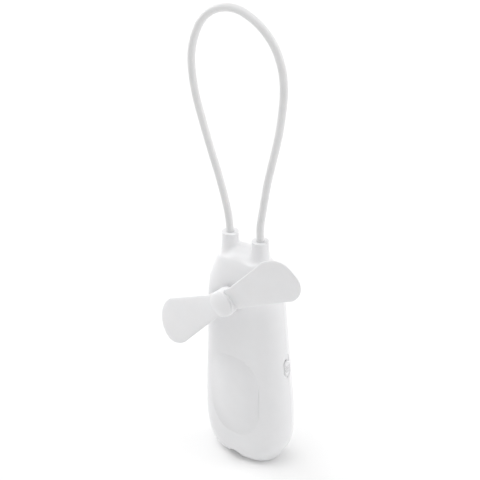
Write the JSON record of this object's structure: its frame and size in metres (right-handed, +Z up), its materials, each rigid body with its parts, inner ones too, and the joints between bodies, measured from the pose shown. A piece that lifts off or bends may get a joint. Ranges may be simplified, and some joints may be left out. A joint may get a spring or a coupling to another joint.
{
  "type": "portable fan",
  "caption": "White pocket fan: oval upright grip with flat base, soft paddle blades on a front hub, side slide switch, rear battery door and a tall lanyard loop.",
  "frame": {"origin": "on the flat base under the middle of the grip, on the front shell just in front of the parting line", "axes": "+Z up along the grip, +X to the side with the slide switch, -Y out of the front, where the rotor is"},
  "size_m": [0.0754, 0.0311, 0.2076],
  "materials": {
    "housing": "white moulded plastic, satin gloss",
    "tray": "plain moulded plastic",
    "cell": "plain printed sleeve over a metal can",
    "steel": "nickel or zinc plated",
    "brass": "plain brass",
    "rotor": "white moulded plastic, satin gloss",
    "blade": "soft white blade with round edges, satin",
    "knob": "light grey moulded plastic",
    "black_plastic": "black moulded plastic",
    "phenolic": "brown insulating board",
    "cord": "round pale grey woven cord",
    "wire": "insulated wire"
  },
  "bodies": {
    "housing": {"front_shell": "housing", "rear_shell": "housing", "battery_tray": "tray", "cell_left": "cell", "cell_right": "cell", "contact_bridge": "steel", "contact_positive": "steel", "contact_negative": "steel", "spring_left": "steel", "spring_right": "steel", "motor_can": "steel", "motor_end_cap": "black_plastic", "motor_bush": "brass", "terminal_left": "brass", "terminal_right": "brass", "switch_frame": "steel", "switch_base": "phenolic", "screw_left": "steel", "screw_right": "steel", "screw_top": "steel", "ferrule_left": "brass", "ferrule_right": "brass", "lanyard_cord": "cord", "wire_supply": "wire", "wire_switched": "wire", "wire_return": "wire"},
    "rotor": {"motor_shaft": "steel", "rotor_hub": "rotor", "spinner_cap": "rotor", "blade_right": "blade", "blade_left": "blade"},
    "slider": {"switch_knob": "knob", "switch_lever": "black_plastic"},
    "door": {"battery_door": "housing"}
  },
  "joints": [
    {"name": "rotor_spin", "type": "hinge", "parent": "housing", "child": "rotor", "pos_m": [0, -0.011, 0.085], "axis": [0, -1, 0], "continuous": true},
    {"name": "switch_slide", "type": "slide", "parent": "housing", "child": "slider", "axis": [0, 0, 1], "range_m": [0, 0.003]},
    {"name": "door_pull", "type": "slide", "parent": "housing", "child": "door", "axis": [0, 1, 0], "range_m": [0, 0.012]}
  ]
}
